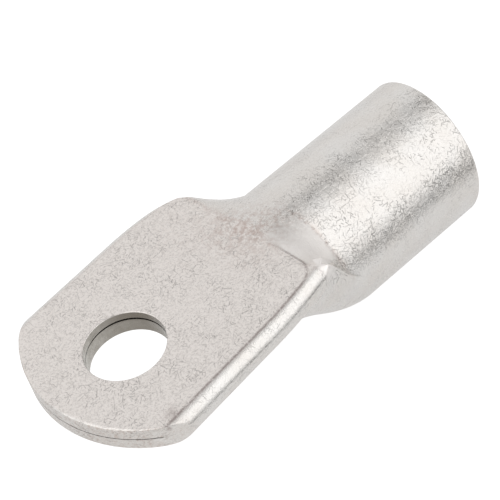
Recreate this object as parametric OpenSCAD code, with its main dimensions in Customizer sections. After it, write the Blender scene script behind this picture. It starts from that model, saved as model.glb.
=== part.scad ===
// Tubular cable lug: one length of round copper tube, pressed flat at one end into a two-layer palm.
// Origin: centre of the bolt hole at the underside of the palm. +Z: out of the contact face,
// along the bolt. +X: from the bolt hole towards the barrel. The part is symmetric about the XZ plane.

/* [Barrel] */
// Outside diameter of the tube
barrel_d = 20; // [19:0.1:21]
// Wall thickness of the tube
wall = 2; // [1.8:0.05:2.2]
// Length along the tube's axis, from above the end of the flat face to the mouth
barrel_reach = 31.5; // [28:0.1:36]
// Angle by which the barrel leans back from the plane of the contact face, in degrees
barrel_pitch = 6.5; // [4:0.1:8]
// Bevel around the outer and inner edges of the mouth
mouth_bevel = 0.3; // [0.2:0.05:0.5]

/* [Palm] */
// Width of the palm at its root, where it meets the belly
palm_w = 28.8; // [28:0.1:29.4]
// Thickness of the palm, both layers together
palm_t = 3.5; // [3.2:0.05:3.8]
// Gap left between the two pressed layers
seam_gap = 0.12; // [0.1:0.01:0.2]
// Diameter of the bolt hole
hole_d = 10.5; // [9:0.1:13]
// Distance from the bolt hole's centre to the tip of the palm
tip_reach = 11.7; // [10:0.1:14]
// Radius of the round end cut
tip_r = 17.8; // [16.5:0.1:20]
// How much wider the palm is at its tip than at its root
palm_splay = 0.9; // [0:0.1:1.2]

/* [Transition] */
// Where the palm starts to narrow towards the barrel
corner_x = 11.7; // [11:0.1:13]
// How much each side of the palm has drawn in at the end of the flat contact face
corner_cut = 2; // [1:0.1:2.2]
// Where the underside starts to leave the palm
belly_x = 14.9; // [14:0.1:17]
// Where the flat contact face ends
flat_end_x = 21.3; // [20.5:0.1:22]
// Where the upper half of the tube is fully round
shoulder_x = 28.4; // [27:0.1:29.4]
// Where the lower half of the tube is fully round
root_x = 30.8; // [30:0.1:32]

/* [Hidden] */

// Copper with a matt tin coating
TIN = [0.80, 0.79, 0.77];
// Facets of the true curves, and points around each section of the pressed tube
ROUND_FN = 96;
SECTION_N = 64;
// Loft sections in each stretch: sides and underside, both halves, lower half only
LOW_STEPS = 8;
BOTH_STEPS = 8;
LAST_STEPS = 3;
// How far a cutter passes the face that it cuts, and how far a loft end stays inside a true cylinder
EPS = 1;
TUCK = 0.02;
// How the underside swells from flat to round: the first shapes the start and the second the end, and
// 1 for both would be a straight ramp
SWELL_START = 0.95;
SWELL_END = 1.75;

barrel_r = barrel_d / 2;
bore_r = barrel_r - wall;
layer_t = (palm_t - seam_gap) / 2;
// Half widths of the flat stretches between the half-round folds, outside and at the seam
outer_flat = (palm_w - palm_t) / 2;
inner_flat = (palm_w - seam_gap) / 2 - wall;
// Part of the half turn from the middle of the underside to the middle of the contact face that a
// fold takes, to either side of its own middle
fold_turn = 90 * (PI * palm_t / 2) / (2 * outer_flat + PI * palm_t / 2);
// The cavity follows the outside this much later, which keeps the wall thick on the steep underside
cavity_lag = wall / 2;
// The barrel's top line starts from the end of the contact face
axis_z = palm_t - barrel_r / cos(barrel_pitch);
// The true cylinders start here, measured along the axis from above the end of the contact face
round_start = (root_x + cavity_lag - flat_end_x) / cos(barrel_pitch) + barrel_r * tan(barrel_pitch);
// The loft ends here, inside the wall of the true cylinders
loft_end_x = flat_end_x + round_start * cos(barrel_pitch) + barrel_r * sin(barrel_pitch) + TUCK;

function mix(a, b, e) = a + (b - a) * e;
function clamped(v) = min(1, max(0, v));
function smooth(e) = e * e * (3 - 2 * e);
function progress(x, from, to) = clamped((x - from) / (to - from));

// Height of the barrel's axis above the underside of the palm
function axis_at(x) = axis_z - (x - flat_end_x) * tan(barrel_pitch);

// How round the tube is: 0 is pressed flat and 1 is a full circle. The turn is 0 in the middle of the
// underside and 180 in the middle of the contact face.
function low_roundness(x) = 1 - pow(1 - pow(progress(x, belly_x, root_x), SWELL_START), SWELL_END);
function top_roundness(x) = progress(x, flat_end_x, shoulder_x);
function roundness(turn, x) =
    mix(low_roundness(x), top_roundness(x), smooth(progress(turn, 90 - fold_turn, 90 + fold_turn)));

// Point of the flat form at the same distance around the girth: flat, half-round fold, flat
function flat_point(turn, half_flat, t, z0) =
    let (s = turn / 180 * (2 * half_flat + PI * t / 2), a = (s - half_flat) / (t / 2) * 180 / PI)
    a <= 0 ? [s, z0]
    : a < 180 ? [half_flat + t / 2 * sin(a), z0 + t / 2 * (1 - cos(a))]
    : [2 * half_flat + PI * t / 2 - s, z0 + t];

// Point of the round form, on an upright section through the leaning tube
function round_point(turn, r, x) = [r * sin(turn), axis_at(x) - r / cos(barrel_pitch) * cos(turn)];

// Half width to add to the root's: the palm splays evenly towards its tip, and its sides curve in
// ahead of the end of the contact face
function widening_at(x) =
    palm_splay / 2 * (1 - progress(x, -tip_reach, corner_x))
    - corner_cut * pow(progress(x, corner_x, flat_end_x), 2);

// One closed section, from the middle of the underside around to itself
function section(x, half_flat, t, z0, r, lag) =
    [for (i = [0:SECTION_N - 1])
        let (a = 360 * i / SECTION_N,
             turn = a <= 180 ? a : 360 - a,
             side = a <= 180 ? 1 : -1,
             flat = flat_point(turn, half_flat + widening_at(x), t, z0),
             p = mix(flat, round_point(turn, r, x), roundness(turn, x - lag)))
        [x, side * p[0], p[1]]];

// Section places along the pressed end, closer together where the form changes
PLACES = [-tip_reach - EPS,
    for (i = [0:LOW_STEPS - 1]) mix(corner_x, flat_end_x, i / LOW_STEPS),
    for (i = [0:BOTH_STEPS - 1]) mix(flat_end_x, shoulder_x, i / BOTH_STEPS),
    for (i = [0:LAST_STEPS]) mix(shoulder_x, root_x, i / LAST_STEPS),
    loft_end_x];

// Tube with walls between an outer and an inner row of sections, closed by a flat rim at each end
module walled_loft(outer, inner) {
    n = SECTION_N;
    count = len(outer);
    inside = count * n;
    last = inside - n;
    points = [for (ring = outer) each ring, for (ring = inner) each ring];
    skin = [for (k = [0:count - 2], i = [0:n - 1])
        let (a = k * n + i, b = k * n + (i + 1) % n)
        each [[a, b + n, b], [a, a + n, b + n]]];
    lining = [for (f = skin) [f[0] + inside, f[2] + inside, f[1] + inside]];
    rims = [for (i = [0:n - 1])
        let (j = (i + 1) % n)
        each [[i, j, inside + j], [i, inside + j, inside + i],
              [last + i, last + inside + j, last + j], [last + i, last + inside + i, last + inside + j]]];
    polyhedron(points, concat(skin, lining, rims), convexity = 6);
}

// Places its children on the barrel's axis, pointing out of the mouth
module on_axis() {
    translate([flat_end_x, 0, axis_z]) rotate([0, 90 + barrel_pitch, 0]) children();
}

// Pressed end of the tube: the palm, with a thin seam between its layers, and the belly behind it
module pressed_end() {
    outside = [for (x = PLACES)
        section(x, outer_flat, palm_t, 0, barrel_r - TUCK * progress(x, root_x, loft_end_x), 0)];
    cavity = [for (x = PLACES)
        section(x, inner_flat, seam_gap, layer_t, bore_r + TUCK, cavity_lag)];
    walled_loft(outside, cavity);
}

// Round part of the tube, with the bevels of its mouth
module barrel() {
    rim = barrel_reach - mouth_bevel;
    on_axis() rotate_extrude($fn = ROUND_FN)
        polygon([[bore_r, round_start], [barrel_r, round_start], [barrel_r, rim],
                 [barrel_r - mouth_bevel, barrel_reach], [bore_r + mouth_bevel, barrel_reach], [bore_r, rim]]);
}

// Everything beyond the round end cut of the palm
module tip_offcut() {
    reach = tip_reach + 2 * EPS;
    difference() {
        translate([-reach, -barrel_d, -EPS]) cube([reach, 2 * barrel_d, palm_t + 2 * EPS]);
        translate([tip_r - tip_reach, 0, -2 * EPS]) cylinder(h = palm_t + 4 * EPS, r = tip_r, $fn = ROUND_FN);
    }
}

module bolt_hole() {
    translate([0, 0, -EPS]) cylinder(h = palm_t + 2 * EPS, d = hole_d, $fn = ROUND_FN);
}

module cable_lug() {
    color(TIN) difference() {
        union() {
            pressed_end();
            barrel();
        }
        bolt_hole();
        tip_offcut();
    }
}

cable_lug();
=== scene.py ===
# %% [markdown]
# A tubular cable lug in tinned copper. The whole part is one piece of tube: a round barrel that takes
# the conductor, and an end pressed flat into a two-layer palm with a bolt hole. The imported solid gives
# the size and the place. This script makes the same tube again as a finer skin, with the rounded edges
# that cutting, punching and tumbling leave, and gives it its matt tin finish.

# %% Frame
import math
import bmesh
import bpy
import numpy as np
from mathutils import Matrix, Vector


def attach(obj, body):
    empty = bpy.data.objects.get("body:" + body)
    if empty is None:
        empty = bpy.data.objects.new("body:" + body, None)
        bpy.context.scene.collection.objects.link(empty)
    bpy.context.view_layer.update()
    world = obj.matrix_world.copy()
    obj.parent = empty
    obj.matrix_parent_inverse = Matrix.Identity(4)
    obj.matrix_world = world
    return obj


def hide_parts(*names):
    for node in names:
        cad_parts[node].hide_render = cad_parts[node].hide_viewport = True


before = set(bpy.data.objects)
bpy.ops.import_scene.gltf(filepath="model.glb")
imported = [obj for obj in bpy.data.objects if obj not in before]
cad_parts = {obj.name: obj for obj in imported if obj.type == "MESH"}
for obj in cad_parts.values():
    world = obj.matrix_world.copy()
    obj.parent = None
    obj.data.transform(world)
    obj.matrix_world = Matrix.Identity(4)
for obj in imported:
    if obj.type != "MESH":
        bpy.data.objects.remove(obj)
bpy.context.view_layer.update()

# %% [markdown]
# The measures of the tube, in millimetres, in the frame of the solid: the bolt hole's centre is the
# origin, the palm's underside is at height 0 and its contact face at PALM_T. Nearly everything below is
# a function of these few numbers, so a change to one of them carries through the whole skin. The near
# side is the one where y is below 0, and the far side the one where y is above 0.

# %% Measures
MM = 0.001
# The tube: radius, wall, lean of the barrel, and its length along the axis from above AXIS_X
BARREL_R = 10.0
WALL = 2.0
BORE_R = BARREL_R - WALL
PITCH = math.radians(6.5)
BARREL_REACH = 31.5
AXIS_X = 21.3
# The palm: half width at its root, thickness of both layers, gap between them, and where it ends
PALM_HALF = 14.4
PALM_T = 3.5
SEAM = 0.12
SPLAY = 0.45
FLAT_END = 21.5
# The bolt hole and the round end cut
HOLE_R = 5.25
TIP_REACH = 11.7
TIP_R = 17.8
TIP_CENTRE = TIP_R - TIP_REACH
# The barrel's top line meets the end of the contact face
AXIS_Z = PALM_T - BARREL_R / math.cos(PITCH)
print("axis of the barrel starts at height", round(AXIS_Z, 3), "mm")

# %% [markdown]
# Where the tube is pressed flat, each side of the palm is a fold. It could be a plain half circle, but a
# real one is lopsided: the die leaves a crisp corner at the underside, then a long and nearly straight
# side, then a gentle curve that runs back to the contact face. A chain of arcs gives that, each with its
# own length and the angle that it turns. Adding up the direction along the chain gives the curve, and
# the chain is then scaled to the thickness of the palm.

# %% Fold profile
# Length and turn in degrees of each arc, from the underside to the contact face
FOLD_ARCS = [(0.35, 24), (0.90, 40), (0.35, 24), (1.00, 9), (0.31, 11), (0.27, 9.5), (0.26, 9.5),
             (0.37, 10), (0.36, 11), (0.25, 11), (0.26, 8), (0.28, 11), (0.10, 2)]


def fold_table(arcs, height, steps=400):
    """Heading along the chain = sum of the turns so far; y and z = running sums of its cosine and sine."""
    ends = np.cumsum([0.0] + [arc[0] for arc in arcs])
    turns = np.radians(np.cumsum([0.0] + [arc[1] for arc in arcs]))
    s = np.linspace(0, ends[-1], steps + 1)
    heading = np.interp((s[1:] + s[:-1]) / 2, ends, turns)
    step = s[1] - s[0]
    y = np.concatenate([[0], np.cumsum(np.cos(heading)) * step])
    z = np.concatenate([[0], np.cumsum(np.sin(heading)) * step])
    k = height / z[-1]
    return s * k, y * k, z * k


FOLD_S, FOLD_Y, FOLD_Z = fold_table(FOLD_ARCS, PALM_T)
FOLD_LEN = FOLD_S[-1]
# How far the fold stands out past the flat underside, and how far out it still is at the contact face
FOLD_OUT = FOLD_Y.max()
FOLD_BACK = FOLD_Y[-1]
print("fold: length", round(FOLD_LEN, 3), "mm, stands out", round(FOLD_OUT, 3), "mm")

# %% [markdown]
# The palm is the flattened tube. Going around half of its girth means walking along the underside, then
# around the fold, then back over the top, so one number, the share of the half girth, names every point.
# The palm is a little wider at its tip than at its root, and its sides are drawn in where the tube
# starts to close again. This one was pressed unevenly: the near side a little narrower, and the far
# corner drawn in further and more softly.

# %% Flat form
CORNER_X = 10.1
NEAR_TRIM = 0.23
FAR_DRAWN = 1.42
FAR_SOFTNESS = 1.8


def half_width(x, far):
    """Root half width, plus a splay that grows evenly to the tip, less a power of the way into the corner."""
    tip = np.clip((CORNER_X - x) / (CORNER_X + TIP_REACH), 0, 1)
    corner = np.clip((x - CORNER_X) / (FLAT_END - CORNER_X), 0, 1)
    drawn = np.where(far, FAR_DRAWN * corner ** FAR_SOFTNESS, corner ** 2)
    return PALM_HALF - np.where(far, 0, NEAR_TRIM) + SPLAY * tip - drawn


def flat_form(share, flat, scale, z0):
    """Walks share of the half girth: flat outwards at z0, the scaled fold, then flat inwards over the top."""
    fold = FOLD_LEN * scale
    total = 2 * flat + FOLD_BACK * scale + fold
    s = share * total
    inside = np.clip((s - flat) / scale, 0, FOLD_LEN)
    y_fold = flat + scale * np.interp(inside, FOLD_S, FOLD_Y)
    y = np.where(s < flat, s, np.where(s < flat + fold, y_fold, total - s))
    return y, z0 + scale * np.interp(inside, FOLD_S, FOLD_Z)


tip_and_root = half_width(np.array([-TIP_REACH, CORNER_X]), True)
print("half width at the tip and at the root:", tip_and_root.round(2), "mm")

# %% [markdown]
# Between the palm and the barrel the tube opens. A straight blend from flat to round would look like a
# funnel, but the underside swells early into a belly while the contact face stays flat for longer and
# then falls in one short straight slope to the shoulder. So how round the tube is depends on two things:
# the place along it, and the turn around it, which is 0 in the middle of the underside, 90 at a fold and
# 180 in the middle of the contact face. Short tables say where each turn starts and stops opening. On
# the near side the fold runs on past the flat face, which leaves a wedge there with a crisp edge.

# %% From flat to round
START_TURN = [0, 66, 76, 84, 92, 100, 108, 114, 122, 180]
NEAR_START = [14.9, 14.9, 15.9, 17.0, 22.0, 23.4, 22.2, 21.5, 21.5, 21.5]
FAR_START = [14.9, 14.9, 14.9, 14.8, 14.4, 17.2, 21.0, 21.8, 22.0, 21.5]
END_TURN = [0, 76, 90, 104, 180]
END_X = [31.5, 31.5, 29.8, 27.65, 27.65]
SWELL_START = 0.95
SWELL_END = 1.75
SLOPE_SOFTNESS = 0.02


def ramp(p, soft):
    """A climb from 0 to 1 with two rounded corners: half the difference of two hyperbolas."""
    return 0.5 * (np.sqrt(p * p + soft * soft) - np.sqrt((p - 1) ** 2 + soft * soft) + 1)


def smooth(p):
    """3 p squared less 2 p cubed, with p held between 0 and 1."""
    p = np.clip(p, 0, 1)
    return p * p * (3 - 2 * p)


def roundness(turn, x, far):
    """0 is pressed flat and 1 is a full circle; below the folds p follows the swell, above them the slope."""
    start = np.where(far, np.interp(turn, START_TURN, FAR_START), np.interp(turn, START_TURN, NEAR_START))
    end = np.interp(turn, END_TURN, END_X)
    p = (x - start) / (end - start)
    low = 1 - (1 - np.clip(p, 0, 1) ** SWELL_START) ** SWELL_END
    top = np.clip(ramp(p, SLOPE_SOFTNESS), 0, 1)
    return low + (top - low) * smooth((turn - 76) / 28)


half_way = roundness(np.array([0.0, 180.0]), np.array([24.0, 24.0]), True)
print("roundness at x = 24, under and over:", half_way.round(2))

# %% [markdown]
# Every section of the pressed end mixes two points that lie at the same share of the girth: one on the
# flattened tube and one on the leaning circle. The copper isn't stretched, so matching shares of the
# girth is what the press does too. The same function makes the outside and the inside. The inside is a
# thin gap between the layers, opens a little later than the outside, and ends as the bore.

# %% Sections of the tube
CAVITY_LAG = 1.0
# The folds are pressed to a little less than the wall of the tube
FOLD_WALL = WALL * 0.93


def tube(share, x, flat, scale, z0, radius, lag=0.0):
    """Point = flat form + (leaning circle - flat form) times the roundness; the sign of share is the side."""
    turn = abs(share) * 180
    y0, h0 = flat_form(abs(share), flat, scale, z0)
    a = np.radians(turn)
    y1 = radius * np.sin(a)
    h1 = AXIS_Z - (x - AXIS_X) * math.tan(PITCH) - radius / math.cos(PITCH) * np.cos(a)
    r = roundness(turn, x - lag, share > 0)
    return y0 + (y1 - y0) * r, h0 + (h1 - h0) * r


def outer(share, x):
    """The outside of the tube: the full fold and the barrel's radius."""
    return tube(share, x, half_width(x, share > 0) - FOLD_OUT, 1.0, 0.0, BARREL_R)


def inner(share, x):
    """The inside: the fold scaled down to the seam, then the cavity under the belly, then the bore."""
    k = SEAM / PALM_T
    flat = half_width(x, share > 0) - FOLD_WALL - FOLD_OUT * k
    return tube(share, x, flat, k, (PALM_T - SEAM) / 2, BORE_R, lag=CAVITY_LAG)


belly = outer(np.array([0.0]), np.array([28.0]))[1][0]
print("underside at x = 28 has swollen down to", round(float(belly), 2), "mm")

# %% [markdown]
# The skin is one grid, because a grid is easy to shade and to map: columns around the girth and rows
# along the tube. The columns crowd towards the folds and into them, where the surface turns fast. The
# rows of the palm follow the end cut, the later ones are straight across, and the same columns run from
# the cut to the mouth.

# %% Columns and rows
FLAT_N = 44
FOLD_N = 44
CROWDING = 1.4
FLAT_HALF = PALM_HALF - FOLD_OUT
TOTAL = 2 * FLAT_HALF + FOLD_BACK + FOLD_LEN
fold_from = FLAT_HALF / TOTAL
fold_to = (FLAT_HALF + FOLD_LEN) / TOTAL
crowd = 1 - (1 - np.linspace(0, 1, FLAT_N + 1)) ** CROWDING
half = np.concatenate([fold_from * crowd[:-1], np.linspace(fold_from, fold_to, FOLD_N + 1)[:-1],
                       1 - (1 - fold_to) * crowd[::-1]])
shares = np.concatenate([half, half[-2:0:-1]])
sides = np.concatenate([np.ones(len(half)), -np.ones(len(half) - 2)])
COLS = len(shares)
TOP_COLS = np.arange(FLAT_N + FOLD_N, COLS - FLAT_N - FOLD_N + 1)
LOW_COLS = np.concatenate([np.arange(COLS - FLAT_N, COLS), np.arange(0, FLAT_N + 1)])
# The rows follow the end cut up to CROSS_X, then come every 0.5 mm, then every 0.16 mm while the form turns
CROSS_X = 10.6
PALM_ROWS = 18
late_x = np.concatenate([np.arange(CROSS_X, 15, 0.5)[1:], np.arange(15, 31.6, 0.16)])
late_grid = np.broadcast_to(late_x[:, None], (len(late_x), COLS))
print(COLS, "columns,", PALM_ROWS + len(late_x), "rows on the pressed end")

# %% [markdown]
# The end of the palm is cut to an arc. The first row of points has to lie on it exactly, but a point's y
# depends on its x, because the palm splays. Guessing x, working out y and correcting x from the arc
# settles after a few rounds. The blade leaves the arc near the folds, so the corners are cut shorter.

# %% Row on the end cut
CUT_CORNER_Y = 12.4
CUT_CORNER_WIDTH = 2.3
CUT_CORNER_DEPTH = 0.9


def cut_x(y):
    """Centre of the arc less the root of radius squared less y squared, plus a square law at the corners."""
    corner = np.clip((abs(y) - CUT_CORNER_Y) / CUT_CORNER_WIDTH, 0, 1)
    return TIP_CENTRE - np.sqrt(TIP_R ** 2 - y ** 2) + CUT_CORNER_DEPTH * corner ** 2


def girth(fn, x):
    """(x, y, z) of all columns for one or more rows of x; nothing stands above the contact face."""
    y, z = fn(np.broadcast_to(shares * sides, x.shape), x)
    return np.stack([x, y * sides, np.minimum(z, PALM_T)], -1)


def cut_row(fn):
    """The row on the end cut, found by going from a guess to the arc four times."""
    x = np.full(COLS, -TIP_REACH)
    for _ in range(4):
        x = cut_x(girth(fn, x)[:, 1])
    return girth(fn, x)


edge_out = cut_row(outer)
edge_in = cut_row(inner)
print("end cut runs from x", edge_out[:, 0].min().round(2), "to", edge_out[:, 0].max().round(2), "mm")

# %% [markdown]
# Where two faces meet, tumbling has rounded the edge. A bevel modifier would round every edge alike, but
# the blade came down through the contact face here and pulled its edge into a wider, wavy roll. So the
# edge is a strip of its own: from each point of the sharp edge one direction lies along the face and one
# down the cut, and a quarter ellipse between the two rounds the corner. Its reach and drop are functions
# of the place along the edge.

# %% Rolled edge of the end cut
LEAST_ROLL = 0.12


def roll(edge, along, down, reach, drop, steps=6):
    """Quarter ellipse: edge + reach (1 - sin a) along + drop (1 - cos a) down, a from 0 to a right angle."""
    a = np.linspace(0, math.pi / 2, steps + 1)[:, None, None]
    reach = reach[..., None]
    drop = drop[..., None]
    return edge + reach * (1 - np.sin(a)) * along + drop * (1 - np.cos(a)) * down


def unit(v):
    """A vector over its own length."""
    return v / np.linalg.norm(v, axis=-1, keepdims=True)


along = unit(girth(outer, edge_out[:, 0] + 0.05) - edge_out)
down = unit(edge_in - edge_out)
# How squarely the face runs into the cut: 1 at the tip, less where the arc slants away
slant = abs(edge_out[:, 0] - TIP_CENTRE) / TIP_R
y_cut = edge_out[:, 1]
# 0 on the lower layer and 1 on the upper one
top_side = smooth((shares - 0.42) / 0.16)
# Two waves, 3 mm and 1.3 mm long
wave = np.sin(y_cut * 2.1 + 0.7) + 0.6 * np.sin(y_cut * 4.7 + 2.0)
# Grows from the far fold to the near half, and fades before the near fold
near = smooth((7 - y_cut) / 12) * smooth((y_cut + 13.5) / 5)
reach = (0.18 + top_side * (LEAST_ROLL + 0.30 * near + 0.07 * wave)) / slant
drop = LEAST_ROLL + top_side * (LEAST_ROLL + 0.24 * near + 0.03 * wave)
rolled = roll(edge_out, along, down, reach, drop)
print("roll of the end cut: at most", reach.max().round(2), "mm wide and", drop.max().round(2), "mm deep")

# %% [markdown]
# The skin is made of several grids: the tube, rings around the bolt hole, the walls of the hole, the end
# cut, the barrel and the mouth. They share their border points, so they can be joined by position into
# one closed mesh. Merging vertices afterwards in the editor would do it as well, but here each corner of
# a face has to keep its own place on the map, so the joining is done on the arrays.

# %% Shell of joined grids


class Shell:
    """Collects grids of points and their places on the map, then joins points that are the same."""

    def __init__(self):
        self.points = []
        self.faces = []
        self.uv = []
        self.count = 0

    def grid(self, pts, uv, flip=False, keep=None, period=0.0):
        """Rows by columns, closed on itself: face = (a, b, c, d) around each cell; keep leaves some out."""
        pts = np.concatenate([pts, pts[:, :1]], 1)
        uv = np.concatenate([uv, uv[:, :1] + [period, 0.0]], 1)
        rows, cols = pts.shape[:2]
        index = np.arange(rows * cols).reshape(rows, cols) + self.count
        a, b, c, d = index[:-1, :-1], index[:-1, 1:], index[1:, 1:], index[1:, :-1]
        quads = np.stack([a, d, c, b] if flip else [a, b, c, d], -1)
        if keep is not None:
            quads = quads[keep]
        self.faces.append(quads.reshape(-1, 4))
        self.points.append(pts.reshape(-1, 3))
        self.uv.append(uv.reshape(-1, 2))
        self.count += rows * cols

    def make(self, name):
        """Points that agree to 0.0001 mm become one; each corner of a face keeps its own place on the map."""
        pts = np.concatenate(self.points)
        quads = np.concatenate(self.faces)
        uv = np.concatenate(self.uv)
        _, first, same = np.unique(np.round(pts, 4), axis=0, return_index=True, return_inverse=True)
        used, joined = np.unique(same.reshape(-1)[quads], return_inverse=True)
        joined = joined.reshape(-1, 4)
        made = bpy.data.meshes.new(name)
        made.from_pydata((pts[first[used]] * MM).tolist(), [], joined.tolist())
        layer = made.uv_layers.new(name="girth")
        layer.data.foreach_set("uv", (uv[quads.reshape(-1)] * MM).reshape(-1))
        made.update()
        print(name, "has", len(used), "points and", len(joined), "four-sided faces")
        return made


shell = Shell()
print("shell is empty:", shell.count, "points")

# %% [markdown]
# The first grid is the pressed end, from the rolled edge of the cut to the place where the tube is fully
# round. Its map is the tube unrolled: distance around the girth, and distance along the part, so the
# scratches of the finish run over the folds without a break. The flat middle of both faces is left out,
# because the bolt hole is there.

# %% Skin of the pressed end
way = np.linspace(0, 1, PALM_ROWS + 1)[:, None]
palm = girth(outer, rolled[0, :, 0] + (CROSS_X - rolled[0, :, 0]) * way)
palm[0] = rolled[0]
skin = np.concatenate([palm, girth(outer, late_grid)])


def skin_uv(pts, offset=0.0):
    """Distance around the girth from the middle of the underside, and distance along the part."""
    u = np.where(sides > 0, shares * TOTAL, (2 - shares) * TOTAL)
    return np.stack([np.broadcast_to(u, pts.shape[:2]) + offset, pts[..., 0]], -1)


keep = np.ones((len(skin) - 1, COLS), bool)
keep[:PALM_ROWS, TOP_COLS[0]:TOP_COLS[-1]] = False
keep[:PALM_ROWS, :FLAT_N] = False
keep[:PALM_ROWS, COLS - FLAT_N:] = False
shell.grid(skin, skin_uv(skin), keep=keep, period=2 * TOTAL)
print("skin of the pressed end:", skin.shape[0], "rows by", skin.shape[1], "columns")

# %% [markdown]
# A punched hole could be cut with a Boolean modifier, but that leaves long thin faces that spoil the
# shading of its edge. Here the grid gives way to rings: lines run from the edge of the hole out to the
# border of the flat, so the hole is a true circle and its rounded edge has even faces.

# %% Rings around the bolt hole
LIP = 0.16


def border(grid_pts, cols):
    """The loop around a block of the grid: up one side, across, down the other side and back."""
    up_side = grid_pts[:PALM_ROWS, cols[0]]
    across = grid_pts[PALM_ROWS, cols[:-1]]
    down_side = grid_pts[PALM_ROWS:0:-1, cols[-1]]
    back = grid_pts[0, cols[:0:-1]]
    return np.concatenate([up_side, across, down_side, back])


def circle(theta, r, z):
    """x = r cos theta and y = r sin theta, at height z."""
    return np.stack([r * np.cos(theta), r * np.sin(theta), np.broadcast_to(z, theta.shape)], -1)


def ring_patch(loop, theta, r, z, steps=14):
    """Position = circle + (border - circle) times a share that grows outwards as its power of 1.5."""
    g = (np.linspace(0, 1, steps + 1) ** 1.5)[:, None, None]
    return circle(theta, r, z) * (1 - g) + loop * g


def plain_uv(pts, u_mid, turned=-1):
    """Flat faces lie in the map as they lie on the part, around the middle line of their own side."""
    return np.stack([u_mid + turned * pts[..., 1], pts[..., 0]], -1)


top_loop = border(palm, TOP_COLS)
low_loop = border(palm, LOW_COLS)
angles = np.arctan2(top_loop[:, 1], top_loop[:, 0])
low_angles = np.arctan2(low_loop[:, 1], low_loop[:, 0])
patch = ring_patch(top_loop, angles, HOLE_R + LIP, PALM_T)
shell.grid(patch, plain_uv(patch, TOTAL), flip=True)
patch = ring_patch(low_loop, low_angles, HOLE_R + LIP, 0.0)
shell.grid(patch, plain_uv(patch, 0.0, 1))
print(len(top_loop), "and", len(low_loop), "points around the hole, above and below")

# %% [markdown]
# The two layers of the palm aren't welded: a dark line shows between them at the end cut and inside the
# bolt hole. Painting that line would look flat, so the gap is real. Its two faces are the lining of the
# tube, made with the inner section. The punch dragged the layers along with it, so inside the hole the
# line sits higher than the middle, and it opens a little on the barrel's side.

# %% Faces of the seam
# Each grid has its own place on the map, this many millimetres to the side
MAP_LINING = 100.0
MAP_SEAM_TOP = 150.0
MAP_SEAM_LOW = 200.0
DRAGGED_UP = 0.45
OPENED = 0.16

palm_in = girth(inner, edge_in[:, 0] + (CROSS_X - edge_in[:, 0]) * way)
palm_in[0] = edge_in
lining = np.concatenate([palm_in, girth(inner, late_grid)])
shell.grid(lining, skin_uv(lining, MAP_LINING), flip=True, keep=keep)
z_low = (PALM_T - SEAM) / 2 + DRAGGED_UP
z_high = (PALM_T + SEAM) / 2 + DRAGGED_UP + OPENED * smooth(np.cos(angles - 0.5))
patch = ring_patch(border(palm_in, TOP_COLS), angles, HOLE_R, z_high, 6)
shell.grid(patch, plain_uv(patch, MAP_SEAM_TOP))
patch = ring_patch(border(palm_in, LOW_COLS), low_angles, HOLE_R, z_low, 6)
shell.grid(patch, plain_uv(patch, MAP_SEAM_LOW), flip=True)
print("seam in the hole: from", round(z_low, 2), "to", z_high.max().round(2), "mm up")

# %% [markdown]
# The hole goes through both layers, so it has two walls, each from a face of the palm to the seam. The
# wall is straight, and only the first tenths of a millimetre are rolled over by the punch.

# %% Walls of the bolt hole
MAP_HOLE = 250.0
LIP_RINGS = 6


def hole_wall(theta, z_face, z_seam):
    """Lip: r = hole + lip (1 - sin a), z = lip (1 - cos a) from the face; then straight to the seam."""
    a = np.linspace(0, math.pi / 2, LIP_RINGS)
    inwards = np.sign(np.mean(z_seam) - z_face)
    lip_z = z_face + inwards * LIP * (1 - np.cos(a))
    share = np.concatenate([np.zeros(LIP_RINGS), np.linspace(0, 1, LIP_RINGS + 1)[1:]])[:, None]
    z = np.concatenate([lip_z, np.full(LIP_RINGS, lip_z[-1])])[:, None]
    z = z + (z_seam - lip_z[-1]) * share
    r = np.concatenate([HOLE_R + LIP * (1 - np.sin(a)), np.full(LIP_RINGS, HOLE_R)])
    pts = np.stack([circle(theta, ring_r, ring_z) for ring_r, ring_z in zip(r, z)])
    around = np.broadcast_to(theta * HOLE_R + MAP_HOLE, pts.shape[:2])
    return pts, np.stack([around, pts[..., 2]], -1)


pts, uv = hole_wall(angles, PALM_T, z_high)
shell.grid(pts, uv)
pts, uv = hole_wall(low_angles, 0.0, z_low)
shell.grid(pts, uv, flip=True)
print("hole walls:", len(pts), "rings each, diameter", 2 * HOLE_R, "mm")

# %% [markdown]
# The end cut itself is the wall of the tube seen in section: from the rolled edge outside to the seam
# inside. One strip carries both, so that the roll and the cut are shaded as one surface.

# %% Face of the end cut
MAP_CUT = 300.0
CUT_ROWS = 8
inwards = np.linspace(0, 1, CUT_ROWS + 1)[1:, None, None]
strip = np.concatenate([rolled, rolled[-1] + (edge_in - rolled[-1]) * inwards])
depth = np.concatenate([[0], np.cumsum(np.linalg.norm(np.diff(strip, axis=0), axis=-1).mean(1))])
uv = skin_uv(strip, MAP_CUT)
uv[..., 1] = depth[:, None]
shell.grid(strip, uv, flip=True)
print("end cut:", depth[-1].round(2), "mm from the face to the seam")

# %% [markdown]
# The barrel is the same tube left round: a circle carried straight along its leaning axis. A cylinder
# from the Add menu would need a join to the pressed end. Instead each column of the grid runs on: the
# last upright section says how far along the axis that column has got, and equal steps take it to the
# mouth. The saw went through the tube a little out of square, so the mouth is set by its own plane.

# %% Barrel
SAW_TRIM = 0.28
SAW_SIDEWAYS = 0.65
SAW_UPWARDS = 0.10
RIM_OUT = 0.28
RIM_IN = 0.25
AXIS = np.array([math.cos(PITCH), 0, -math.sin(PITCH)])
UP = np.array([math.sin(PITCH), 0, math.cos(PITCH)])
ASIDE = np.array([0, 1, 0])
ORIGIN = np.array([AXIS_X, 0, AXIS_Z])

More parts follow.
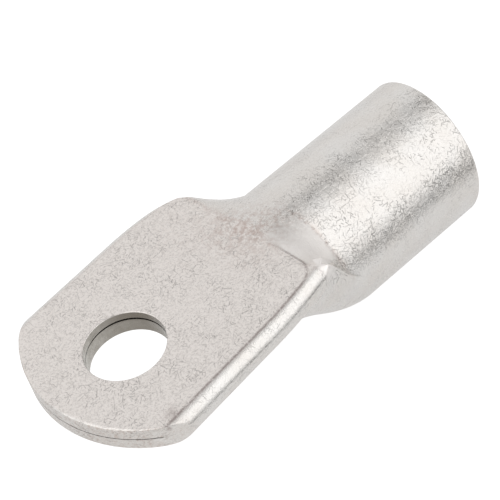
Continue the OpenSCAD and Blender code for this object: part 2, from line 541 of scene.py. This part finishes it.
girth_turn = np.radians(shares * 180)
spoke = -np.cos(girth_turn)[:, None] * UP + (np.sin(girth_turn) * sides)[:, None] * ASIDE
mouth_s = BARREL_REACH - SAW_TRIM + SAW_SIDEWAYS * (spoke @ ASIDE) + SAW_UPWARDS * (spoke @ UP)


def straight_tube(last_row, radius, end_s, rows=30):
    """Point = origin + axis times s + radius times spoke, s in equal steps from the last row to its end."""
    start_s = (last_row - ORIGIN) @ AXIS
    s = start_s + (end_s - start_s) * np.linspace(0, 1, rows)[1:, None]
    return np.concatenate([last_row[None], ORIGIN + AXIS * s[..., None] + radius * spoke])


body = straight_tube(skin[-1], BARREL_R, mouth_s - RIM_OUT)
bore = straight_tube(lining[-1], BORE_R, mouth_s - RIM_IN)
shell.grid(body, skin_uv(body), period=2 * TOTAL)
shell.grid(bore, skin_uv(bore, MAP_LINING), flip=True)
print("mouth: from", mouth_s.min().round(2), "to", mouth_s.max().round(2), "mm along the axis")

# %% [markdown]
# The mouth is a narrow flat ring with its outer and inner edges broken by tumbling. Two quarter circles
# carried around the girth make both edges, and the flat ring is the step between them.

# %% Rim of the mouth
RIM_MAP_END = 80
q = np.linspace(0, math.pi / 2, 7)
rim_r = np.concatenate([BARREL_R - RIM_OUT * (1 - np.cos(q)), BORE_R + RIM_IN * (1 - np.sin(q))])
rim_s = np.concatenate([-RIM_OUT * (1 - np.sin(q)), -RIM_IN * (1 - np.cos(q))])
rim = ORIGIN + AXIS * (rim_s[:, None] + mouth_s)[..., None] + rim_r[:, None, None] * spoke
rim_uv = skin_uv(rim)
rim_uv[..., 1] = RIM_MAP_END - rim_r[:, None]
shell.grid(rim, rim_uv)
print("rim:", len(rim), "rings,", rim_r.min().round(2), "to", rim_r.max().round(2), "mm from the axis")

# %% [markdown]
# All grids become one closed mesh, smooth except where two faces meet at more than 40 degrees. A closed
# mesh has two faces at every edge, and its signed volume is above zero when the faces point outwards.
# The skin then stands for the solid lug, whose own part is hidden.

# %% One closed skin
mesh = shell.make("lug_skin")
lug = bpy.data.objects.new("lug_skin", mesh)
bpy.context.scene.collection.objects.link(lug)
mesh.polygons.foreach_set("use_smooth", np.ones(len(mesh.polygons), bool))
mesh.set_sharp_from_angle(angle=math.radians(40))
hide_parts("cable_lug")
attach(lug, "root")

check = bmesh.new()
check.from_mesh(mesh)
print("open edges:", sum(len(edge.link_faces) != 2 for edge in check.edges))
print("volume in cubic mm:", round(check.calc_volume(signed=True) * 1e9, 1))
check.free()

# %% [markdown]
# The finish isn't the same all over: the die flattened it, the punch cut it, tumbling scuffed it. Such
# places could be painted by hand, but they follow from the form, so they are worked out from it. A mark
# is one number from 0 to 1 on every point of the skin, kept under a name that the material can read. The
# first marks are "scuffed", on two stripes along the barrel that took the most knocks, and "wedge", on
# the bulge between the end of the near fold and the shoulder, which stayed smooth and has a painted
# highlight.

# %% Marks of tumbling
co = np.empty(len(mesh.vertices) * 3)
mesh.vertices.foreach_get("co", co)
px, py, pz = (co.reshape(-1, 3) / MM).T


def spot(x, y, z, size):
    """A soft spot: e to the minus squared distance over size squared."""
    return np.exp(-((px - x) ** 2 + (py - y) ** 2 + (pz - z) ** 2) / size ** 2)


def stripe(value, middle, width):
    """A soft stripe: e to the minus squared distance from the middle over width squared."""
    return np.exp(-((value - middle) / width) ** 2)


def keep_mark(name, values):
    """Holds the numbers between 0 and 1 and stores them on the points under a name."""
    values = np.clip(values, 0, 1)
    stored = mesh.attributes.new(name, "FLOAT", "POINT")
    stored.data.foreach_set("value", values.astype(np.float32))
    print("mark", name, "mean", round(float(values.mean()), 3))


# Angle around the barrel in degrees: 0 on its top line, 90 on the near side
lean = np.degrees(np.arctan2(-py, pz - (AXIS_Z - (px - AXIS_X) * math.tan(PITCH))))
# Two stripes on the barrel, at 12 and 69 degrees, with a faint one between them
scuffed = (stripe(lean, 12, 10) + 0.9 * stripe(lean, 69, 8)) * smooth((px - 24.5) / 4)
scuffed = scuffed + 0.12 * stripe(lean, 42, 14)
# Two knocks on the bulge where the near fold ends
scuffed = scuffed + spot(24.3, -12.2, 0.0, 1.6) + spot(22.9, -12.6, 2.2, 1.1)
keep_mark("scuffed", scuffed)
# From the end of the flat to the shoulder, on the near side, down to 62 degrees: fewer scratches and a
# painted highlight
between = smooth((px - 21.8) / 0.6) * smooth((27.7 - px) / 0.4)
keep_mark("wedge", 0.8 * between * smooth((-py - 0.5) / 7) * smooth((62 - lean) / 10))

# %% [markdown]
# Cutting and punching tear the tin away. "cut_face" is the end cut, where bare copper shows in flecks.
# It also takes in the near corner, which was torn a little. "hole_side" is the wall of the bolt hole, and
# the last mark is painted shade on the part of it towards the barrel, most on the upper layer.

# %% Marks of cutting and punching, and painted shade in the hole
torn_corner = 0.6 * spot(-4.8, -13.4, 1.6, 1.8)
# Points within 0.16 mm of the arc, on the tip's side of the part
off_arc = abs(np.hypot(px - TIP_CENTRE, py) - TIP_R)
cut_face = smooth((0.16 - off_arc) / 0.1) * (px < 3)
keep_mark("cut_face", np.maximum(cut_face, torn_corner))
hole_side = smooth((HOLE_R + 0.03 - np.hypot(px, py)) / 0.03)
keep_mark("hole_side", hole_side)
# 1 where the wall lies towards the barrel and 0 where it lies towards the tip
to_barrel = 0.5 + 0.5 * np.cos(np.arctan2(py, px) - 0.45)
upper_layer = smooth((pz - 2.0) / 0.2)
# Painted shade on the wall of the hole: towards the barrel, and most on the upper layer
keep_mark("hole_painted_shade", hole_side * to_barrel ** 1.4 * (0.85 + 0.15 * upper_layer))

# %% [markdown]
# Pressing leaves its own marks. "pressed" is the flat of both faces, which came out duller and more
# evenly grained. The crease mark is painted shade: the fine dark line of the die's edge beside each fold,
# carried around the corner of the flat, and a dark spot at a small burr where it meets the end cut. "stain"
# is where the tube bends: the tin is thinner there and lets a brown copper tint through, as on the shoulder.

# %% Marks of pressing
CREASE_ROUND = 2.2
off_flat = np.minimum(abs(pz - PALM_T), abs(pz))
keep_mark("pressed", smooth((0.12 - off_flat) / 0.1) * (px < FLAT_END + 1))

# Distance past a rectangle with rounded corners: ahead of its end, or aside of its long edge
ahead = px - FLAT_END + CREASE_ROUND
aside = abs(py) - (half_width(px, py > 0) - FOLD_OUT + FOLD_BACK) + CREASE_ROUND
outside = np.hypot(np.maximum(ahead, 0), np.maximum(aside, 0))
past = outside + np.minimum(np.maximum(ahead, aside), 0) - CREASE_ROUND
# Painted shade: a line 0.30 mm past the flat, fainter on the far side, and a spot at the burr at the end cut
fold_crease = stripe(past, 0.30, 0.16) * smooth((pz - 2.2) / 0.4) * smooth((abs(py) - 3) / 5)
burr = 0.9 * spot(-4.2, -12.3, 3.2, 0.7)
keep_mark("crease_painted_shade", fold_crease * np.where(py > 0, 0.22, 1.0) + burr)

# Four soft spots around the bend, then the line of the shoulder, then the end of the flat
bend = 0.8 * spot(21.2, 1.2, 3.4, 3.2) + 0.7 * spot(25.0, -1.5, 2.8, 3.0)
bend = bend + 0.35 * spot(20.0, -3.5, 3.4, 3.5) + 0.2 * spot(18, 6, 3.4, 5)
shoulder = stripe(px, 27.6, 0.35) * smooth((-py - 1.0) / 3) * smooth((pz + 7) / 4)
end_crease = stripe(px, FLAT_END + 0.15, 0.45) * smooth((pz - 2.6) / 0.5)
keep_mark("stain", bend + 0.7 * shoulder + 0.35 * end_crease)

# %% [markdown]
# Materials are made of nodes, and a node tree written out link by link is hard to read. A few helpers
# turn it back into arithmetic: each adds one node, connects it and hands back its output, so a line of
# the recipe reads as a formula.

# %% Node helpers


def add(tree, kind, **values):
    """Adds one node and sets its properties."""
    node = tree.nodes.new(kind)
    for key, value in values.items():
        setattr(node, key, value)
    return node


def calc(tree, kind, a, b=None, clamp=False):
    """One step of arithmetic; a and b are sockets or plain numbers."""
    node = add(tree, "ShaderNodeMath", operation=kind, use_clamp=clamp)
    for socket, value in zip(node.inputs, (a, b)):
        if isinstance(value, (int, float)):
            socket.default_value = value
        elif value is not None:
            tree.links.new(value, socket)
    return node.outputs[0]


def vector(tree, kind, a, b=None, scale=None):
    """One step of vector arithmetic; a is a socket, b a socket or three numbers."""
    node = add(tree, "ShaderNodeVectorMath", operation=kind)
    tree.links.new(a, node.inputs[0])
    if isinstance(b, tuple):
        node.inputs[1].default_value = b
    elif b is not None:
        tree.links.new(b, node.inputs[1])
    if scale is not None:
        node.inputs["Scale"].default_value = scale
    return node.outputs["Value"] if kind == "DOT_PRODUCT" else node.outputs[0]


def span(tree, value, low, high):
    """A smooth step: 0 where value is at low, 1 where it is at high."""
    node = add(tree, "ShaderNodeMapRange", interpolation_type="SMOOTHSTEP")
    tree.links.new(value, node.inputs["Value"])
    node.inputs["From Min"].default_value = low
    node.inputs["From Max"].default_value = high
    return node.outputs["Result"]


def noise(tree, where, scale, detail=2.0, rough=0.5):
    """Fractal noise, scale in waves per millimetre."""
    node = add(tree, "ShaderNodeTexNoise")
    tree.links.new(where, node.inputs["Vector"])
    node.inputs["Scale"].default_value = scale
    node.inputs["Detail"].default_value = detail
    node.inputs["Roughness"].default_value = rough
    return node.outputs["Fac"]


print("node helpers:", ", ".join(helper.__name__ for helper in (add, calc, vector, span, noise)))

# %% [markdown]
# Tumbled tin is a bright metal whose surface is covered with short scratches that point every way. A
# stretched noise would give them one direction. Instead each cell of a Voronoi pattern holds one scratch:
# the cell's own random colour gives the angle and the depth, and the distances across and along that
# angle from the cell's centre give a thin, short line. The map is turned around that centre, which a
# Vector Rotate node does in one step.

# %% One layer of scratches
DEPTH_POWER = 2.0


def scratches(tree, where, cell, width, shift):
    """Line of that half width in each cell = thin across times short along times the cell's own depth."""
    moved = vector(tree, "ADD", where, (shift, shift * 1.7, 0.0))
    cells = add(tree, "ShaderNodeTexVoronoi", voronoi_dimensions="2D")
    tree.links.new(moved, cells.inputs["Vector"])
    cells.inputs["Scale"].default_value = 1 / cell
    chance = add(tree, "ShaderNodeSeparateColor")
    tree.links.new(cells.outputs["Color"], chance.inputs[0])
    turn = add(tree, "ShaderNodeVectorRotate", rotation_type="Z_AXIS")
    tree.links.new(moved, turn.inputs["Vector"])
    tree.links.new(cells.outputs["Position"], turn.inputs["Center"])
    tree.links.new(calc(tree, "MULTIPLY", chance.outputs[0], math.pi), turn.inputs["Angle"])
    local = add(tree, "ShaderNodeSeparateXYZ")
    tree.links.new(vector(tree, "SUBTRACT", turn.outputs[0], cells.outputs["Position"]), local.inputs[0])
    across = span(tree, calc(tree, "ABSOLUTE", local.outputs[1]), width, 0.0)
    along_line = span(tree, calc(tree, "ABSOLUTE", local.outputs[0]), cell * 0.48, cell * 0.30)
    deep = calc(tree, "POWER", chance.outputs[1], DEPTH_POWER)
    return calc(tree, "MULTIPLY", calc(tree, "MULTIPLY", across, along_line), deep)


print("a scratch is at most", 2 * 0.48, "of its cell long")

# %% [markdown]
# The finish starts as plain metal. Its patterns read two things: the skin's own map, for the scratches
# that follow the surface, and the place in space, for everything that has no direction. Both are brought
# to millimetres, so every number below is a real size. Layers of scratches with cells from 0.45 to 1.6 mm
# cross each other, and a slow noise lets them thin out in patches.

# %% Tumbled tin: scratches
tin = bpy.data.materials.new("tumbled_tin")
tin.use_nodes = True
lug.data.materials.append(tin)
tree = tin.node_tree
metal = tree.nodes["Principled BSDF"]
metal.inputs["Metallic"].default_value = 1.0

on_skin = vector(tree, "SCALE", add(tree, "ShaderNodeUVMap", uv_map="girth").outputs[0], scale=1000.0)
in_space = vector(tree, "SCALE", add(tree, "ShaderNodeTexCoord").outputs["Object"], scale=1000.0)


def mark(name):
    """Reads one of the numbers kept on the points."""
    return add(tree, "ShaderNodeAttribute", attribute_name=name).outputs["Fac"]


def times(a, b):
    """a times b."""
    return calc(tree, "MULTIPLY", a, b)


def with_marks(base, clamp=False, **weights):
    """base + weight times mark, for each named mark; clamp holds the sum between 0 and 1."""
    total = base
    for name, weight in weights.items():
        total = calc(tree, "ADD", times(mark(name), weight), total, clamp=clamp)
    return total


# Cell size, half width and shift of each layer, in mm
LAYERS = [(0.45, 0.062, 0.0), (0.56, 0.066, 31.0), (0.68, 0.07, 57.0),
          (0.82, 0.072, 83.0), (1.05, 0.075, 119.0), (1.6, 0.07, 151.0)]
scratch = scratches(tree, on_skin, *LAYERS[0])
for layer in LAYERS[1:]:
    scratch = calc(tree, "MAXIMUM", scratch, scratches(tree, on_skin, *layer))
patchy = span(tree, noise(tree, in_space, 0.35, 2.0), 0.35, 0.65)
scratch = times(scratch, calc(tree, "ADD", times(patchy, 0.7), 0.3))
scratch = times(scratch, with_marks(1.0, wedge=-0.7))
print(len(LAYERS), "layers of scratches")

# %% [markdown]
# The relief is real but tiny: a fine grain from the tin bath, softer dents from tumbling, and the
# scratches cut into both. It is far too fine for the mesh, so it goes into a Bump node, with its height
# in metres. Where the barrel is scuffed, the dents and the cuts are deeper.

# %% Tumbled tin: relief
RELIEF = 0.062 * MM
grain = noise(tree, in_space, 3.4, 2.0, 0.55)
dents = times(noise(tree, in_space, 1.1, 1.0), with_marks(0.5, scuffed=1.0))
height = calc(tree, "ADD", times(grain, 0.40), dents)
height = calc(tree, "SUBTRACT", height, times(scratch, with_marks(0.30, scuffed=3.2)))
bump = add(tree, "ShaderNodeBump")
bump.inputs["Strength"].default_value = 1.0
bump.inputs["Distance"].default_value = RELIEF
tree.links.new(height, bump.inputs["Height"])
tree.links.new(bump.outputs[0], metal.inputs["Normal"])
print("relief of the tin:", round(RELIEF / MM, 3), "mm")

# %% [markdown]
# A metal's base colour is the colour of its reflection. Tin is a warm pale grey that drifts slowly from
# place to place, and the pressed faces reflect a little more pink. Fine dark flecks and bright glints
# lie over it. The colour is built in layers: each one goes from what is there to a new colour, by how
# much there is of it.

# %% Tumbled tin: colour of the metal
TIN_WARM = (0.80, 0.766, 0.73)
TIN_COOL = (0.825, 0.804, 0.78)
TIN_PRESSED = (0.895, 0.843, 0.805)
# Painted highlight for the wedge
WEDGE_PAINTED_HIGHLIGHT = (0.99, 0.95, 0.92)
FLECK = (0.42, 0.385, 0.36)
GLINT = (0.93, 0.91, 0.89)
SCRATCH = (0.25, 0.235, 0.225)


def layered(factor, a, b):
    """a + (b - a) times factor; a and b are colours or sockets."""
    node = add(tree, "ShaderNodeMix", data_type="RGBA")
    tree.links.new(factor, node.inputs["Factor"])
    for name, value in (("A", a), ("B", b)):
        socket = next(i for i in node.inputs if i.name == name and i.type == "RGBA")
        if isinstance(value, tuple):
            socket.default_value = (*value, 1.0)
        else:
            tree.links.new(value, socket)
    return next(o for o in node.outputs if o.type == "RGBA")


def clouds(scale, detail, rough, low, high):
    """Fractal noise in space, cut to the range from low to high."""
    return span(tree, noise(tree, in_space, scale, detail, rough), low, high)


colour = layered(clouds(0.22, 3.0, 0.5, 0.3, 0.7), TIN_WARM, TIN_COOL)
colour = layered(mark("pressed"), colour, TIN_PRESSED)
flecks = times(clouds(4.4, 2.0, 0.7, 0.46, 0.64), with_marks(0.10, pressed=0.22))
colour = layered(flecks, colour, FLECK)
colour = layered(times(clouds(5.1, 1.0, 0.6, 0.56, 0.70), 0.3), colour, GLINT)
worn = with_marks(0.28, clamp=True, cut_face=0.7, scuffed=0.55, pressed=0.56)
colour = layered(times(scratch, worn), colour, SCRATCH)
print("tin, cool parts:", TIN_COOL)

# %% [markdown]
# Over the metal lie the traces of making, and painted light. The wall of the hole is dull and grey, with
# painted shade towards the barrel, the wedge has a painted highlight, the bend and the shoulder have a
# mottled brown tint, the end cut shows flecks of copper, and the creases have a line of painted shade.
# Each is limited by its mark, and most are broken up by a noise, because no stain or shade has an even edge.

# %% Tumbled tin: traces of making, painted shade and highlight
WALL_DULL = (0.60, 0.58, 0.53)
WALL_PALE = (0.82, 0.80, 0.75)
# Painted shade for the wall of the hole
WALL_PAINTED_SHADE = (0.22, 0.195, 0.165)
BEND_TINT = (0.56, 0.46, 0.42)
CUT_TINT = (0.62, 0.57, 0.53)
COPPER = (0.52, 0.42, 0.37)
# Painted shade for the die's edge
CREASE_PAINTED_SHADE = (0.28, 0.22, 0.21)

wall = layered(clouds(0.9, 3.0, 0.6, 0.3, 0.7), WALL_DULL, WALL_PALE)
# Painted shade on the wall of the hole, towards the barrel
wall = layered(mark("hole_painted_shade"), wall, WALL_PAINTED_SHADE)
colour = layered(mark("hole_side"), colour, wall)
# Painted highlight on the wedge
colour = layered(mark("wedge"), colour, WEDGE_PAINTED_HIGHLIGHT)
stain = times(mark("stain"), clouds(1.6, 3.0, 0.65, 0.35, 0.70))
colour = layered(times(stain, 0.9), colour, BEND_TINT)
colour = layered(times(mark("cut_face"), 0.35), colour, CUT_TINT)
copper = times(mark("cut_face"), clouds(2.2, 3.0, 0.7, 0.48, 0.66))
colour = layered(times(copper, 0.6), colour, COPPER)
# Painted shade along the die's edge and at the burr
crease_painted_shade = times(mark("crease_painted_shade"), clouds(3.0, 2.0, 0.5, 0.25, 0.55))
colour = layered(times(crease_painted_shade, 0.75), colour, CREASE_PAINTED_SHADE)
tree.links.new(colour, metal.inputs["Base Color"])
print("colour of the tin:", sum(node.bl_idname == "ShaderNodeMix" for node in tree.nodes), "layers")

# %% [markdown]
# Tin from a bath is neither a mirror nor chalk. Its roughness follows the same grain as the relief, and
# is a little higher on the pressed faces and on the wedge.

# %% Tumbled tin: roughness
grainy = calc(tree, "ADD", times(grain, 0.16), 0.17)
tree.links.new(with_marks(grainy, wedge=0.20, pressed=0.06), metal.inputs["Roughness"])
print("tumbled_tin has", len(tree.nodes), "nodes")

# %% [markdown]
# The camera looks down on the palm from beyond its tip, with a long lens, so the lug is drawn almost
# without perspective. Its axes are worked out from three angles: the direction it looks from, the height
# above the floor, and a roll that sets the lug at a slant in the frame.

# %% Camera
AZIMUTH = math.radians(-32.162)
ELEVATION = math.radians(46.468)
ROLL = math.radians(19.596)
EYE_MM = np.array([-96.952, -188.135, 233.880])
FOCAL_LENGTH = 187.01

backwards = np.array([math.sin(AZIMUTH) * math.cos(ELEVATION), -math.cos(AZIMUTH) * math.cos(ELEVATION),
                      math.sin(ELEVATION)])
level = np.array([math.cos(AZIMUTH), math.sin(AZIMUTH), 0])
rightwards = math.cos(ROLL) * level - math.sin(ROLL) * np.cross(backwards, level)
lens = bpy.data.cameras.new("camera")
lens.sensor_width = 36
lens.lens = FOCAL_LENGTH
lens.clip_start = 0.01
camera = bpy.data.objects.new("camera", lens)
bpy.context.scene.collection.objects.link(camera)
placed = np.eye(4)
placed[:3, 0] = rightwards
placed[:3, 1] = np.cross(backwards, rightwards)
placed[:3, 2] = backwards
placed[:3, 3] = EYE_MM * MM
camera.matrix_world = Matrix(placed.tolist())
bpy.context.scene.camera = camera
print("camera is", round(float(np.linalg.norm(EYE_MM)), 1), "mm from the bolt hole")

# %% [markdown]
# Bright metal shows its surroundings, so it is lit as in a studio: inside a white tent, with a soft box
# on each side. A tent that is even all over would make the barrel look like plaster. A darker ring in
# it, around the right soft box, gives the barrel the two grey stripes beside its bright one. The world
# does this with the direction alone, and the camera itself sees plain white there.

# %% Tent
RIGHT_BOX = (0.500, -0.700, 0.510)
TENT_LEVEL = 0.845
RING_DARKER = 0.305

bpy.context.scene.view_settings.view_transform = "Standard"
world = bpy.data.worlds.new("tent")
world.use_nodes = True
bpy.context.scene.world = world
sky = world.node_tree
background = sky.nodes["Background"]
background.inputs["Color"].default_value = (1, 1, 1, 1)
facing = vector(sky, "DOT_PRODUCT", add(sky, "ShaderNodeTexCoord").outputs["Generated"], RIGHT_BOX)
ring = calc(sky, "MULTIPLY", span(sky, facing, 0.72, 0.56), span(sky, facing, 0.28, 0.42))
tent = calc(sky, "SUBTRACT", TENT_LEVEL, calc(sky, "MULTIPLY", ring, RING_DARKER))
seen = add(sky, "ShaderNodeMix", data_type="FLOAT")
sky.links.new(add(sky, "ShaderNodeLightPath").outputs["Is Camera Ray"], seen.inputs["Factor"])
sky.links.new(tent, seen.inputs["A"])
seen.inputs["B"].default_value = 1.0
sky.links.new(seen.outputs["Result"], background.inputs["Strength"])
print("tent:", TENT_LEVEL, "and in the ring", round(TENT_LEVEL - RING_DARKER, 3))

# %% [markdown]
# Two soft boxes give the bright stripe on the barrel and the light on the palm. A square area lamp sends
# out its radiance times pi times its area, so the radiance, which is the brightness that the metal
# reflects, is what is set here.

# %% Soft boxes
AIM = Vector((0.025, 0, 0))


def softbox(name, toward, distance, size, radiance):
    """A square area lamp that faces the lug: watts = radiance times pi times area."""
    lamp = bpy.data.lights.new(name, "AREA")
    lamp.shape = "SQUARE"
    lamp.size = size
    lamp.energy = radiance * math.pi * size * size
    box = bpy.data.objects.new(name, lamp)
    bpy.context.scene.collection.objects.link(box)
    direction = Vector(unit(np.array(toward, float)))
    box.location = direction * distance + AIM
    box.rotation_euler = direction.to_track_quat("Z", "Y").to_euler()
    print(name, round(lamp.energy, 3), "W")


softbox("softbox_right", RIGHT_BOX, 0.40, 0.44, 0.385)
softbox("softbox_left", (-0.68, 0.02, 0.72), 0.45, 0.42, 0.40)

# %% [markdown]
# The floor is a sheet of white paper. It adds a little glow of its own for the camera, which makes it as
# white as the tent but keeps the lug's soft shadow. A part of the glow is there for glossy rays too, so
# that the metal reflects the same paper. A matt dark card beside the barrel is seen by the metal alone,
# and darkens the reflection low on its near side.

# %% Floor and card
PAPER_GLOW = 0.42
GLOSSY_SHARE = 0.15

bpy.ops.mesh.primitive_plane_add(size=3, location=(0.02, 0, -0.035))
floor = bpy.context.object
floor.name = "floor"
paper = bpy.data.materials.new("white_paper")
paper.use_nodes = True
floor.data.materials.append(paper)
sheet = paper.node_tree
matt = sheet.nodes["Principled BSDF"]
matt.inputs["Base Color"].default_value = (0.85, 0.85, 0.85, 1)
matt.inputs["Roughness"].default_value = 0.9
matt.inputs["Specular IOR Level"].default_value = 0.0
glow = add(sheet, "ShaderNodeEmission")
glow.inputs["Color"].default_value = (1, 1, 1, 1)
glow.inputs["Strength"].default_value = PAPER_GLOW
lit = add(sheet, "ShaderNodeAddShader")
sheet.links.new(matt.outputs[0], lit.inputs[0])
sheet.links.new(glow.outputs[0], lit.inputs[1])
path = add(sheet, "ShaderNodeLightPath")
glossy = calc(sheet, "MULTIPLY", path.outputs["Is Glossy Ray"], GLOSSY_SHARE)
mixed = add(sheet, "ShaderNodeMixShader")
sheet.links.new(calc(sheet, "MAXIMUM", path.outputs["Is Camera Ray"], glossy), mixed.inputs[0])
sheet.links.new(matt.outputs[0], mixed.inputs[1])
sheet.links.new(lit.outputs[0], mixed.inputs[2])
sheet.links.new(mixed.outputs[0], sheet.nodes["Material Output"].inputs["Surface"])

bpy.ops.mesh.primitive_plane_add(size=1, location=(0.079, -0.081, -0.0345),
                                 rotation=(0, 0, math.radians(-64)))
card = bpy.context.object
card.name = "flag"
card.scale = (0.045, 0.16, 1)
card.visible_camera = False
card.visible_diffuse = False
card.visible_shadow = False
dark = bpy.data.materials.new("black_card")
dark.use_nodes = True
card_paint = dark.node_tree.nodes["Principled BSDF"]
card_paint.inputs["Base Color"].default_value = (0.12, 0.12, 0.12, 1)
card_paint.inputs["Roughness"].default_value = 0.9
card.data.materials.append(dark)
print("floor is", round(-floor.location.z / MM, 1), "mm below the palm")
